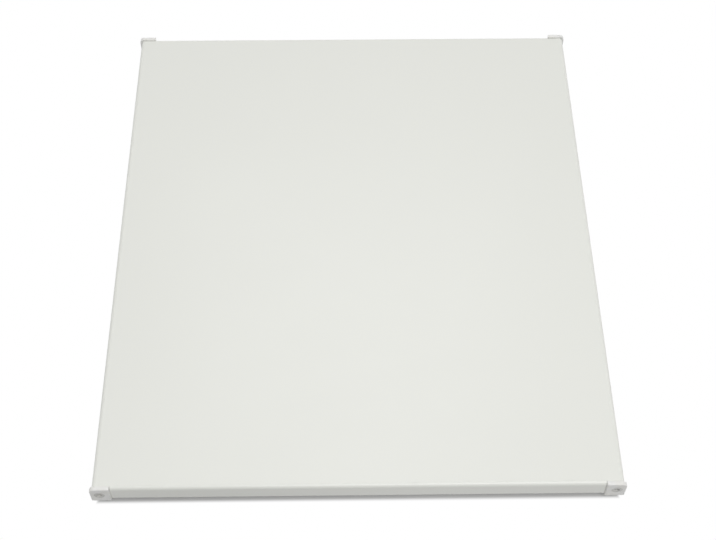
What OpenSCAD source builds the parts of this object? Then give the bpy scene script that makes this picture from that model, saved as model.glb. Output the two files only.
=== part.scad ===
// Freezer door, lying on its inner side with its outer face up.
// X runs across the door, Y from its lower end to its upper end, and Z out of its outer face.
// The origin is under the middle of the door, in the plane that the liner's dyke rests on.

/* [Door skin] */
// Width of the steel skin, from side wall to side wall
door_w = 595; // [500:5:700]
// Height of the steel skin, from lower end wall to upper end wall
door_h = 690; // [500:10:1000]
// Depth of the steel skin, from the outer face to the rear flange
skin_depth = 24; // [22:1:50]
// Thickness of the painted sheet steel
sheet_t = 0.6; // [0.5:0.1:0.8]
// Outer radius of the bends round the outer face
bend_r = 4.5; // [3:0.5:5]
// Outer radius of the bends into the rear flange
hem_r = 1.5; // [1.2:0.1:2]
// Width of the rear flange, folded in all round
flange_w = 18; // [16:1:20]

/* [Inner liner] */
// Wall of the vacuum-formed liner
liner_t = 1.5; // [1:0.1:2]
// Height of the dyke, from the rear flange to its crest
dyke_h = 14; // [12:1:20]
// Distance from the skin's walls to the root of the dyke
dyke_inset = 42; // [40:1:60]
// Width of the dyke at its root
dyke_w = 34; // [28:1:50]
// Slope of the dyke's walls, in degrees
dyke_draft = 6; // [3:1:10]
// Radius along the dyke's crest
crest_r = 3.5; // [2.5:0.5:4]
// Radius along the dyke's root
root_r = 2.5; // [1.5:0.5:3]
// Radius of the dyke's inner corners, seen from behind
recess_r = 12; // [6:1:30]
// Depth of the recess inside the dyke
recess_d = 8; // [7:1:11]
// Number of ribs pressed into the recess
rib_count = 5; // [3:1:7]
// Width of a rib
rib_w = 16; // [12:1:20]
// Height of a rib
rib_h = 3; // [2:0.5:4]
// Distance from a rib's end to the dyke
rib_margin = 42; // [20:1:80]

/* [Door seal] */
// Distance from the skin's walls to the middle of the seal's groove
groove_inset = 27; // [26:0.5:29]
// Width of the groove's mouth
groove_mouth = 5; // [4.5:0.1:5.5]
// Width of the groove behind its mouth
groove_w = 7; // [6.5:0.1:8]
// Depth of the groove behind its mouth
groove_d = 7; // [6:0.5:7.5]
// Distance that the dyke's crest stands out past the seal
seal_back = 2; // [1:0.5:3]
// Width of the seal's base outside the middle of its groove
seal_out = 17; // [16:0.5:19]
// Width of the seal's base inside the middle of its groove
seal_in = 9; // [6:0.5:11]
// Thickness of the seal's base
seal_base_t = 1.5; // [1.2:0.1:2]
// Thickness of the seal's bellows and lips
seal_wall = 0.9; // [0.8:0.1:1.2]
// How far the bellows' walls fold outwards
bellows_fold = 1.2; // [0.5:0.1:2]
// Width of the lip that covers the skin's flange
outer_lip_w = 3.5; // [2:0.5:4]
// How far that lip stands off the flange
outer_lip_drop = 3; // [2:0.5:5]
// Width of the lip on the dyke's side
inner_lip_w = 5.5; // [3:0.5:7]
// Distance from the seal's face to the tip of that lip
inner_lip_rise = 3.6; // [2:0.2:4]
// Width of the stem of the seal's dart
dart_stem = 2.6; // [2:0.2:3.6]
// Wall of the seal's magnet pocket
pocket_wall = 1.2; // [0.8:0.1:1.5]
// Distance from the base's outer edge to the magnet pocket
pocket_back = 3; // [2:0.5:4]
// Width of the magnet strip
magnet_w = 9.6; // [8:0.2:10]
// Thickness of the magnet strip
magnet_t = 2.6; // [2:0.2:3]
// Distance from the skin's walls to the ends of the magnet strips
magnet_end = 41; // [36:1:60]

/* [Corner caps] */
// Width of a corner cap along the end wall, from the skin's side
cap_w = 20; // [18:0.5:24]
// Thickness of a cap's end plate, and how far it stands out past the skin's side
cap_out = 2.4; // [2.2:0.2:4]
// Height of a cap's lip above the outer face
lip_face = 2.2; // [1.4:0.2:3]
// Thickness of a cap's lip behind the rear flange
lip_rear = 1; // [1:0.2:2]
// How far a cap's lips reach over the skin
lip_over = 2.5; // [2:0.5:4]
// Rounding of a cap's outer edges
cap_edge_r = 1.2; // [0.5:0.1:1.4]
// Depth of the cap's spigot inside the skin
spigot_len = 10; // [8:1:12]
// Wall of the cap's spigot
spigot_wall = 2; // [1.5:0.1:2.5]
// Thickness of the closed end of the cap's hinge boss
boss_end_t = 2; // [1:0.5:3]
// Wall of the cap's hinge boss round the bush
boss_wall = 1.5; // [1.2:0.1:1.8]

/* [Hinge bushes] */
// Distance from the skin's side to the hinge axis
hinge_in = 8; // [8:0.1:9]
// Distance from the outer face to the hinge axis
hinge_down = 11; // [10:0.5:13]
// Bore of a bush, for a 6 mm hinge pin
bush_bore = 6.2; // [5:0.1:6.6]
// Outer diameter of a bush
bush_d = 9; // [8.4:0.1:9.4]
// Diameter of a bush's collar
collar_d = 12; // [11:0.5:13]
// Thickness of a bush's collar
collar_t = 1.2; // [1:0.1:1.8]
// Depth of a bush's bore
bore_len = 16; // [12:1:18]
// Thickness of a bush's closed end
bush_end_t = 2; // [1.5:0.1:3]

/* [Inner fittings] */
// Thickness of the hinge plates
plate_t = 1.5; // [1.2:0.1:2]
// Length of a hinge plate along the end wall, from the hinge axis
end_leg = 44; // [36:1:60]
// Length of a hinge plate's lip, bent into the foam
plate_lip = 8; // [6:1:9]
// Inner bend radius of the hinge plates
plate_bend_r = 1.5; // [1:0.1:2.5]
// Distance between the two handle screw holes
handle_pitch = 160; // [100:5:200]
// Distance from the upper end wall to the middle of the handle holes
handle_drop = 200; // [170:5:240]
// Diameter of the handle screw holes
handle_hole_d = 4.2; // [3.5:0.1:5]
// Width of the handle plates
handle_plate_w = 14; // [10:1:14]
// Thickness of the handle plates
handle_plate_t = 2; // [1.5:0.1:3]
// Length of a handle plate past each hole
handle_plate_end = 20; // [12:1:24]
// Diameter of the heads of the plugs in the unused handle holes
plug_head_d = 8; // [7:0.5:10]
// Thickness of those heads
plug_head_t = 1.2; // [0.8:0.1:2]
// Length of those plugs' stems
plug_stem = 7; // [5:0.5:9]

/* [Fits] */
// Clearance between pieces that sit against each other
fit_gap = 0.1; // [0.05:0.05:0.2]
// Clearance round the foam
foam_gap = 0.1; // [0.05:0.05:0.2]
// Clearance between the ends of the skin's side walls and the corner caps
side_end_gap = 0.2; // [0.1:0.1:0.5]
// Clearance above and below the hinge plates
plate_margin = 0.5; // [0.2:0.1:1]
// How far a corner cap's end plate covers the skin's end wall
cap_cover = 1; // [0.5:0.5:2]
// Free space above the seal's dart in its groove
dart_room = 1; // [0.5:0.1:1.5]
// Free space in the foam round a handle screw
screw_room = 1; // [0.5:0.5:3]
// Depth of that free space, from the skin's side
screw_pocket = 16; // [10:1:25]

/* [Hidden] */
$fn = 96;
eps = 0.01;
cut = 1;
lap = 0.5;
rear_z = dyke_h;
face_z = rear_z + skin_depth;
liner_z = rear_z + sheet_t;
liner_edge = sheet_t + hem_r;
notch_w = cap_w - cap_cover;
corner_centre = dyke_inset + dyke_w + recess_r;
slope = tan(dyke_draft);
field_w = door_w - 2 * (dyke_inset + dyke_w);
field_h = door_h - 2 * (dyke_inset + dyke_w);
rib_len = field_w - 2 * rib_margin;
rib_pitch = field_h / (rib_count + 1);
hinge_z = face_z - hinge_down;
boss_r = bush_d / 2 + boss_wall;
bush_len = bore_len + bush_end_t;
boss_len = bush_len + fit_gap - cap_out + boss_end_t;
spigot_z = liner_z + liner_t + fit_gap;
plate_y = spigot_len + 2 * fit_gap;
plate_low = spigot_z + plate_margin;
plate_high = face_z - sheet_t - 2 * plate_margin;
handle_y = door_h / 2 - handle_drop;
handle_z = rear_z + skin_depth / 2;
seal_top = rear_z - fit_gap;
seal_foot = seal_back;
base_out = groove_inset - seal_out;
pocket_x = base_out + pocket_back;

skin_white = [0.89, 0.895, 0.87];
cap_white = [0.88, 0.88, 0.875];
liner_white = [0.92, 0.92, 0.91];
seal_white = [0.80, 0.80, 0.79];
foam_cream = [0.90, 0.84, 0.66];
zinc_grey = [0.66, 0.67, 0.68];
magnet_brown = [0.20, 0.17, 0.15];
nylon_grey = [0.58, 0.58, 0.57];

// Helpers: extrusions, mirrored places and flat outlines

// A profile drawn in X and Z, run along Y
module along_y(length) rotate([90, 0, 0]) linear_extrude(length, center = true) children();

// A profile drawn in Y and Z, run along X
module along_x(length) rotate([90, 0, 90]) linear_extrude(length, center = true) children();

module mirror_if(flag, axis) {
    if (flag) mirror(axis) children();
    else children();
}

// Puts what is drawn inwards from the skin's lower left corner at another corner:
// side is -1 for left and 1 for right, end is -1 for bottom and 1 for top
module at_corner(side, end)
    mirror_if(side > 0, [1, 0, 0]) mirror_if(end > 0, [0, 1, 0])
        translate([-door_w / 2, -door_h / 2, 0]) children();

// Runs a profile, drawn inwards from the skin's side, round the door with mitred corners
module mitred_frame() {
    for (side = [0, 1])
        mirror_if(side, [1, 0, 0]) intersection() {
            translate([-door_w / 2, 0, 0]) along_y(door_h) children();
            linear_extrude(2 * face_z, center = true) mitre_side(door_w, door_h);
        }
    for (end = [0, 1])
        mirror_if(end, [0, 1, 0]) intersection() {
            translate([0, -door_h / 2, 0]) along_x(door_w) children();
            linear_extrude(2 * face_z, center = true)
                mirror([0, 1]) rotate(-90) mitre_side(door_h, door_w);
        }
}

// The strip along the left side of a width by height door, cut at 45 degrees at its ends
module mitre_side(width, height) {
    deep = min(width, height) / 2 - cut;
    polygon([
        [-width / 2, -height / 2], [-width / 2 + deep, -height / 2 + deep],
        [-width / 2 + deep, height / 2 - deep], [-width / 2, height / 2]
    ]);
}

// Runs a profile, drawn inwards from the skin's side, round the door with round corners
module rounded_frame() {
    for (side = [0, 1])
        mirror_if(side, [1, 0, 0])
            translate([-door_w / 2, 0, 0]) along_y(door_h - 2 * corner_centre) children();
    for (end = [0, 1])
        mirror_if(end, [0, 1, 0])
            translate([0, -door_h / 2, 0]) along_x(door_w - 2 * corner_centre) children();
    for (side = [-1, 1], end = [-1, 1])
        at_corner(side, end) translate([corner_centre, corner_centre, 0])
            rotate(180) rotate_extrude(angle = 90)
                translate([corner_centre, 0]) mirror([1, 0]) children();
}

module rounded_rect(width, height, r) {
    square([width - 2 * r, height], center = true);
    square([width, height - 2 * r], center = true);
    for (x = [-1, 1], y = [-1, 1])
        translate([x * (width / 2 - r), y * (height / 2 - r)]) circle(r);
}

module stadium(length, width) {
    square([length - width, width], center = true);
    for (x = [-1, 1]) translate([x * (length - width) / 2, 0]) circle(width / 2);
}

// A rectangle's outline as a band of the given width, its middle line at inset from the skin
module square_ring(inset, width)
    difference() {
        square([door_w - 2 * inset + width, door_h - 2 * inset + width], center = true);
        square([door_w - 2 * inset - width, door_h - 2 * inset - width], center = true);
    }

// The door's section across a given width, inset all round from the skin's outer surface
module door_outline(width, inset) {
    half = width / 2 - inset;
    low = rear_z + inset;
    high = face_z - inset;
    top_r = bend_r - inset;
    hem = hem_r - inset;
    translate([-half + top_r, low]) square([2 * (half - top_r), high - low]);
    translate([-half, low + hem]) square([2 * half, high - top_r - low - hem]);
    translate([-half + hem, low]) square([2 * (half - hem), skin_depth / 2]);
    for (x = [-1, 1]) {
        translate([x * (half - top_r), high - top_r]) circle(top_r);
        translate([x * (half - hem), low + hem]) circle(hem);
    }
}

// The skin's bent section across a given width, open at the back between its flanges
module skin_section(width)
    difference() {
        door_outline(width, 0);
        door_outline(width, sheet_t);
        translate([-width / 2 + flange_w, rear_z - cut])
            square([width - 2 * flange_w, sheet_t + 2 * cut]);
    }

// Steel skin: side walls folded over the full height, end walls folded between the corner caps
module outer_skin()
    color(skin_white) difference() {
        union() {
            difference() {
                along_y(door_h - 2 * side_end_gap) skin_section(door_w);
                for (end = [-1, 1])
                    translate([0, end * door_h / 2, rear_z + skin_depth / 2])
                        cube([door_w - 2 * notch_w, 2 * bend_r, 2 * skin_depth], center = true);
            }
            along_x(door_w - 2 * notch_w) skin_section(door_h);
        }
        handle_holes(handle_hole_d, sheet_t + cut);
    }

// Bores at the four handle hole places, as deep as given from the skin's sides
module handle_holes(diameter, depth)
    for (side = [-1, 1], up = [-1, 1])
        translate([side * (door_w / 2 - depth / 2), handle_y + up * handle_pitch / 2, handle_z])
            rotate([0, 90, 0]) cylinder(h = depth + 2 * eps, d = diameter, center = true);

// Inner liner

// The dyke's section, inset from the liner's rear surface, with round crest edges and roots
module dyke_section(inset, top) {
    r = crest_r - inset;
    shift = inset / cos(dyke_draft);
    tangent = r * tan((90 - dyke_draft) / 2);
    left = dyke_inset + liner_z * slope + shift;
    right = dyke_inset + dyke_w - liner_z * slope - shift;
    low_left = left - inset * slope;
    low_right = right + inset * slope;
    side_in = r - r * cos(dyke_draft) - (tangent - r);
    polygon([
        [low_left + tangent, inset], [low_right - tangent, inset],
        [low_right + tangent * sin(dyke_draft), inset + tangent * cos(dyke_draft)],
        [right + top * slope, top], [left - top * slope, top],
        [low_left - tangent * sin(dyke_draft), inset + tangent * cos(dyke_draft)]
    ]);
    translate([low_left + tangent, inset + r]) circle(r);
    translate([low_right - tangent, inset + r]) circle(r);
    root_fillet(left, liner_z + inset, root_r + inset);
    translate([left + right, 0]) mirror([1, 0])
        root_fillet(left, recess_d + inset, root_r + inset);
}

// The fillet where the dyke's wall meets a flat panel at the given height
module root_fillet(wall_at_zero, height, r) {
    centre_z = height - r;
    centre_x = wall_at_zero - centre_z * slope - r / cos(dyke_draft);
    touch_x = centre_x + r * cos(dyke_draft);
    touch_z = centre_z + r * sin(dyke_draft);
    difference() {
        polygon([
            [wall_at_zero - height * slope + lap, height + lap],
            [centre_x, height + lap],
            [centre_x, centre_z],
            [touch_x, touch_z],
            [touch_x + lap, touch_z]
        ]);
        translate([centre_x, centre_z]) circle(r);
    }
}

// Everything above the liner's rear surface, inset from it, up to a flat top
module liner_form(inset, top) {
    translate([0, 0, liner_z + inset]) linear_extrude(top - liner_z - inset)
        square([door_w - 2 * liner_edge, door_h - 2 * liner_edge], center = true);
    translate([0, 0, recess_d + inset]) linear_extrude(top - recess_d - inset)
        rounded_rect(field_w + dyke_w, field_h + dyke_w, recess_r + dyke_w / 2);
    rounded_frame() dyke_section(inset, top);
    for (row = [1 : rib_count])
        translate([0, row * rib_pitch - field_h / 2, recess_d - rib_h + inset])
            linear_extrude(top - recess_d + rib_h - inset)
                stadium(rib_len - 2 * inset, rib_w - 2 * inset);
}

// The channel that stands up round the seal's groove, grown all round
module groove_channel(grow)
    translate([0, 0, liner_z]) linear_extrude(groove_d + 2 * liner_t + grow)
        square_ring(groove_inset, groove_w + 2 * liner_t + 2 * grow);

// Vacuum-formed liner with its groove, dyke, recess and ribs
module inner_liner()
    color(liner_white) difference() {
        union() {
            difference() {
                liner_form(0, liner_z + liner_t);
                liner_form(liner_t, liner_z + liner_t + cut);
            }
            groove_channel(0);
        }
        translate([0, 0, liner_z - cut]) linear_extrude(liner_t + 2 * cut)
            square_ring(groove_inset, groove_mouth);
        translate([0, 0, liner_z + liner_t]) linear_extrude(groove_d)
            square_ring(groove_inset, groove_w);
    }

// Polyurethane foam that fills the door
module foam_core() {
    floor_z = liner_z + liner_t + foam_gap;
    skin_inset = sheet_t + foam_gap;
    color(foam_cream) difference() {
        union() {
            intersection() {
                along_y(door_h) door_outline(door_w, skin_inset);
                along_x(door_w) door_outline(door_h, skin_inset);
                translate([0, 0, floor_z + skin_depth])
                    cube([door_w, door_h, 2 * skin_depth], center = true);
            }
            difference() {
                liner_form(liner_t + foam_gap, floor_z + lap);
                translate([0, 0, liner_z]) linear_extrude(skin_depth)
                    square_ring(0, 2 * (flange_w + eps));
            }
        }
        groove_channel(foam_gap);
        for (side = [-1, 1], end = [-1, 1]) {
            at_corner(side, end) cap_inside(foam_gap);
            at_corner(side, end) hinge_plate_shape(foam_gap);
        }
        for (side = [-1, 1]) handle_plate_block(side, foam_gap);
        handle_holes(handle_hole_d + 2 * screw_room, screw_pocket);
    }
}

// Door seal

// The seal's section, drawn inwards from the skin's side
module seal_section() {
    base_low = seal_top - seal_base_t;
    pocket_w = magnet_w + 2 * (pocket_wall + fit_gap);
    pocket_h = magnet_t + 2 * (pocket_wall + fit_gap);
    pocket_in = pocket_x + pocket_w;
    pocket_top = seal_foot + pocket_h;
    fold_z = (base_low + pocket_top) / 2;
    difference() {
        union() {
            translate([base_out, base_low]) square([seal_out + seal_in, seal_base_t]);
            polygon([
                [base_out, seal_top],
                [base_out - outer_lip_w, seal_top - outer_lip_drop],
                [base_out - outer_lip_w, seal_top - outer_lip_drop - seal_wall],
                [base_out + seal_wall, base_low],
                [base_out + seal_wall, seal_top]
            ]);
            bellows_wall(pocket_x, -bellows_fold, base_low, fold_z, pocket_top);
            bellows_wall(pocket_in - seal_wall, bellows_fold, base_low, fold_z, pocket_top);
            translate([pocket_x, seal_foot]) square([pocket_w, pocket_h]);
            polygon([
                [pocket_in - pocket_wall, seal_foot + pocket_wall],
                [pocket_in + inner_lip_w, seal_foot + inner_lip_rise],
                [pocket_in + inner_lip_w, seal_foot + inner_lip_rise + seal_wall],
                [pocket_in - pocket_wall, pocket_top]
            ]);
        }
        translate([pocket_x + pocket_wall, seal_foot + pocket_wall])
            square([magnet_w + 2 * fit_gap, magnet_t + 2 * fit_gap]);
    }
    seal_dart();
}

// One side wall of the bellows, folded out by reach at half height
module bellows_wall(x, reach, high, mid, low)
    polygon([
        [x, high + eps], [x + seal_wall, high + eps], [x + seal_wall + reach, mid],
        [x + seal_wall, low - eps], [x, low - eps], [x + reach, mid]
    ]);

// The barbed dart that holds the seal in its groove
module seal_dart() {
    stem = dart_stem / 2;
    barb = groove_w / 2 - 2 * fit_gap;
    barb_z = liner_z + liner_t + fit_gap;
    barb_h = (groove_d - dart_room) / 2;
    translate([groove_inset - stem, seal_top - eps])
        square([2 * stem, barb_z + groove_d - 2 * dart_room - seal_top]);
    for (step = [0, 1])
        translate([groove_inset, barb_z + step * barb_h])
            polygon([[-barb, 0], [barb, 0], [stem, barb_h], [-stem, barb_h]]);
}

// Magnetic seal, one welded frame
module door_gasket() color(seal_white) mitred_frame() seal_section();

// A magnet strip in the seal's pocket along the left side, or along the lower end
module magnet_bar(run)
    linear_extrude(run, center = true)
        translate([pocket_x + pocket_wall + fit_gap, seal_foot + pocket_wall + fit_gap])
            square([magnet_w, magnet_t]);

module magnet_strip_side(side)
    color(magnet_brown) mirror_if(side > 0, [1, 0, 0])
        translate([-door_w / 2, 0, 0]) rotate([90, 0, 0])
            magnet_bar(door_h - 2 * magnet_end);

module magnet_strip_end(end)
    color(magnet_brown) mirror_if(end > 0, [0, 1, 0])
        translate([0, -door_h / 2, 0]) rotate([90, 0, 90])
            magnet_bar(door_w - 2 * magnet_end);

// Corner caps and hinge bushes, drawn inwards from the skin's lower left corner

// A cap's outer section in X and Z
module cap_outline() {
    low = rear_z - lip_rear;
    high = face_z + lip_face;
    top_r = bend_r + lip_face;
    hem = hem_r + lip_rear;
    translate([-cap_out, low + hem]) square([cap_w + cap_out, high - top_r - low - hem]);
    translate([-cap_out + top_r, low + hem])
        square([cap_w + cap_out - top_r, high - low - hem]);
    translate([-cap_out + hem, low]) square([cap_w + cap_out - hem, skin_depth / 2]);
    translate([-cap_out + top_r, high - top_r]) circle(top_r);
    translate([-cap_out + hem, low + hem]) circle(hem);
}

// The cap's outer block: its end edges are rounded where it meets the eye
module cap_block() {
    low = rear_z - lip_rear;
    high = face_z + lip_face;
    intersection() {
        translate([0, (lip_over - cap_out) / 2, 0]) along_y(lip_over + cap_out) cap_outline();
        translate([cap_w / 2, 0, 0]) along_x(2 * cap_w)
            rounded_span([-cap_out, lip_over + cap_edge_r], [low, high], cap_edge_r);
        linear_extrude(face_z + lip_face)
            rounded_span([-cap_out, cap_w], [-cap_out, lip_over + 2 * cap_edge_r], cap_edge_r);
    }
}

// A rectangle from the first to the second value of each span, with round corners
module rounded_span(across, up, r)
    translate([(across[0] + across[1]) / 2, (up[0] + up[1]) / 2])
        rounded_rect(across[1] - across[0], up[1] - up[0], r);

// What of the cap is inside the skin, grown all round: its spigot and its hinge boss
module cap_inside(grow) {
    difference() {
        translate([0, (spigot_len + grow) / 2, 0]) along_y(spigot_len + grow)
            spigot_outline(grow);
        translate([0, spigot_len / 2, 0]) along_y(spigot_len + 2 * (grow + cut))
            spigot_outline(-spigot_wall - grow);
    }
    translate([hinge_in, 0, hinge_z]) rotate([-90, 0, 0])
        cylinder(h = boss_len + grow, r = boss_r + grow);
}

// The spigot's section in X and Z, grown all round
module spigot_outline(grow) {
    left = sheet_t + fit_gap - grow;
    right = notch_w + grow;
    low = spigot_z - grow;
    high = face_z - sheet_t - fit_gap + grow;
    r = bend_r - sheet_t - fit_gap + grow;
    translate([left, low]) square([right - left, high - r - low]);
    translate([left + r, low]) square([right - left - r, high - low]);
    translate([left + r, high - r]) circle(r);
}

// Plastic corner cap
module corner_cap(side, end)
    color(cap_white) at_corner(side, end) difference() {
        union() {
            difference() {
                cap_block();
                translate([0, lip_over, 0]) along_y(2 * lip_over)
                    translate([door_w / 2, 0]) door_outline(door_w, -fit_gap);
            }
            cap_inside(0);
        }
        translate([hinge_in, -cap_out, hinge_z]) rotate([-90, 0, 0]) {
            cylinder(h = bush_len + fit_gap, d = bush_d + 2 * fit_gap);
            translate([0, 0, -eps])
                cylinder(h = collar_t + fit_gap + eps, d = collar_d + 2 * fit_gap);
        }
    }

// Nylon bush with a blind bore for the hinge pin
module hinge_bush(side, end)
    color(nylon_grey) at_corner(side, end)
        translate([hinge_in, -cap_out, hinge_z]) rotate([-90, 0, 0]) difference() {
            union() {
                cylinder(h = bush_len, d = bush_d);
                cylinder(h = collar_t, d = collar_d);
            }
            translate([0, 0, -eps]) cylinder(h = bore_len + eps, d = bush_bore);
        }

// Steel fittings behind the skin

// A hinge plate, grown all round: it sits behind the cap, notched round the cap's boss
module hinge_plate_shape(grow)
    difference() {
        translate([hinge_in + end_leg, plate_y, plate_low - grow]) mirror([1, 0, 0])
            linear_extrude(plate_high - plate_low + 2 * grow) angle_outline(grow);
        translate([hinge_in, plate_y - cut, hinge_z]) rotate([-90, 0, 0])
            cylinder(h = plate_t + 2 * cut, r = boss_r + 2 * fit_gap - grow);
    }

// An angle seen along its bend, its outer corner at the origin
module angle_outline(grow) {
    outer = plate_bend_r + plate_t;
    translate([outer, -grow]) square([end_leg - outer + grow, plate_t + 2 * grow]);
    translate([-grow, outer]) square([plate_t + 2 * grow, plate_lip - outer + grow]);
    intersection() {
        translate([-grow, -grow]) square(outer + grow);
        translate([outer, outer]) difference() {
            circle(outer + grow);
            circle(plate_bend_r - grow);
        }
    }
}

module hinge_plate(side, end) color(zinc_grey) at_corner(side, end) hinge_plate_shape(0);

// A flat plate behind the side wall, grown all round
module handle_plate_block(side, grow) {
    length = handle_pitch + 2 * handle_plate_end + 2 * grow;
    middle = door_w / 2 - sheet_t - fit_gap - handle_plate_t / 2;
    translate([side * middle, handle_y, handle_z])
        cube([handle_plate_t + 2 * grow, length, handle_plate_w + 2 * grow], center = true);
}

module handle_plate(side)
    color(zinc_grey) difference() {
        handle_plate_block(side, 0);
        handle_holes(handle_hole_d, sheet_t + fit_gap + handle_plate_t + cut);
    }

// Push-in plugs that close the unused handle holes on the hinge side
module handle_hole_plugs()
    color(cap_white) for (up = [-1, 1])
        translate([door_w / 2, handle_y + up * handle_pitch / 2, handle_z]) rotate([0, 90, 0]) {
            cylinder(h = plug_head_t, d = plug_head_d);
            translate([0, 0, -plug_stem])
                cylinder(h = plug_stem + eps, d = handle_hole_d - 2 * fit_gap);
        }

outer_skin();
inner_liner();
foam_core();
door_gasket();
magnet_strip_side(-1);  // magnet_strip_left
magnet_strip_side(1);  // magnet_strip_right
magnet_strip_end(-1);  // magnet_strip_bottom
magnet_strip_end(1);  // magnet_strip_top
corner_cap(-1, -1);  // corner_cap_bottom_left
corner_cap(1, -1);  // corner_cap_bottom_right
corner_cap(-1, 1);  // corner_cap_top_left
corner_cap(1, 1);  // corner_cap_top_right
hinge_bush(-1, -1);  // hinge_bush_bottom_left
hinge_bush(1, -1);  // hinge_bush_bottom_right
hinge_bush(-1, 1);  // hinge_bush_top_left
hinge_bush(1, 1);  // hinge_bush_top_right
hinge_plate(-1, -1);  // hinge_plate_bottom_left
hinge_plate(1, -1);  // hinge_plate_bottom_right
hinge_plate(-1, 1);  // hinge_plate_top_left
hinge_plate(1, 1);  // hinge_plate_top_right
handle_plate(-1);  // handle_plate_left
handle_plate(1);  // handle_plate_right
handle_hole_plugs();
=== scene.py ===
import math

import bmesh
import bpy
import numpy as np
from bpy.props import FloatProperty, FloatVectorProperty, IntProperty, PointerProperty
from bpy.types import Operator, Panel, PropertyGroup
from mathutils import Euler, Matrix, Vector


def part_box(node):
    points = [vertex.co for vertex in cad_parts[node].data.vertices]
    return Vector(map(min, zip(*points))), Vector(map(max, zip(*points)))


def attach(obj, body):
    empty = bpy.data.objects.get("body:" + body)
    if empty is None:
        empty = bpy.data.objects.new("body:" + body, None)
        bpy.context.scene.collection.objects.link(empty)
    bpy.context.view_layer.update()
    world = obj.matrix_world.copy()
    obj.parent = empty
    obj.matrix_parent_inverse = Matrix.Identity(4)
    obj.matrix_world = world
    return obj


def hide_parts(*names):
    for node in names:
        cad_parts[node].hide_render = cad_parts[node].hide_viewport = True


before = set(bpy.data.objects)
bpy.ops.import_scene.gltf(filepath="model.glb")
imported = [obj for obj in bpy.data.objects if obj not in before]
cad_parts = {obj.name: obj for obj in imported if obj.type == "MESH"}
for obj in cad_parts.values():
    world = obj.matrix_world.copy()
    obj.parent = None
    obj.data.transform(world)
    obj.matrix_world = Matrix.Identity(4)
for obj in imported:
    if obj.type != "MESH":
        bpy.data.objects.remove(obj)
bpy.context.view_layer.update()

bl_info = {
    "name": "Freezer Door",
    "version": (1, 0, 0),
    "blender": (4, 5, 0),
    "location": "3D View > Sidebar > Freezer Door",
    "description": "Builds the visible surfaces of a freezer door round its packed CAD model",
    "category": "Object",
}

MM = 0.001
SKIN_LOW, SKIN_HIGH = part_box("outer_skin")
HALF_W, HALF_H = SKIN_HIGH.x, SKIN_HIGH.y
REAR_Z = SKIN_LOW.z
CAP_INNER_X = -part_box("corner_cap_bottom_left")[1].x
CORNERS = [f"{end}_{side}" for end in ("bottom", "top") for side in ("left", "right")]
WHITE = (1.0, 1.0, 1.0, 1.0)


def linear(red, green, blue):
    """A colour given as it shows on a screen, 0 to 255, as the linear values that Blender takes."""
    return tuple(((v / 255 + 0.055) / 1.055) ** 2.4 for v in (red, green, blue))


def opaque(colour):
    return (*colour, 1.0)


def shade(colour, share):
    """An opaque colour, made lighter or darker by a share."""
    return opaque(min(1.0, v * share) for v in colour[:3])


# Node trees written as Python expressions


class Wire:
    """An output of a node, which can be used in plain arithmetic."""

    def __init__(self, net, socket):
        self.net = net
        self.socket = socket

    def __add__(self, other):
        return self.net.maths("ADD", self, other)

    def __sub__(self, other):
        return self.net.maths("SUBTRACT", self, other)

    def __rsub__(self, other):
        return self.net.maths("SUBTRACT", other, self)

    def __mul__(self, other):
        return self.net.maths("MULTIPLY", self, other)

    def __truediv__(self, other):
        return self.net.maths("DIVIDE", self, other)

    def __rtruediv__(self, other):
        return self.net.maths("DIVIDE", other, self)

    def __pow__(self, other):
        return self.net.maths("POWER", self, other)

    def __neg__(self):
        return self.net.maths("MULTIPLY", self, -1.0)

    def __abs__(self):
        return self.net.maths("ABSOLUTE", self)

    __radd__ = __add__
    __rmul__ = __mul__


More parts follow.
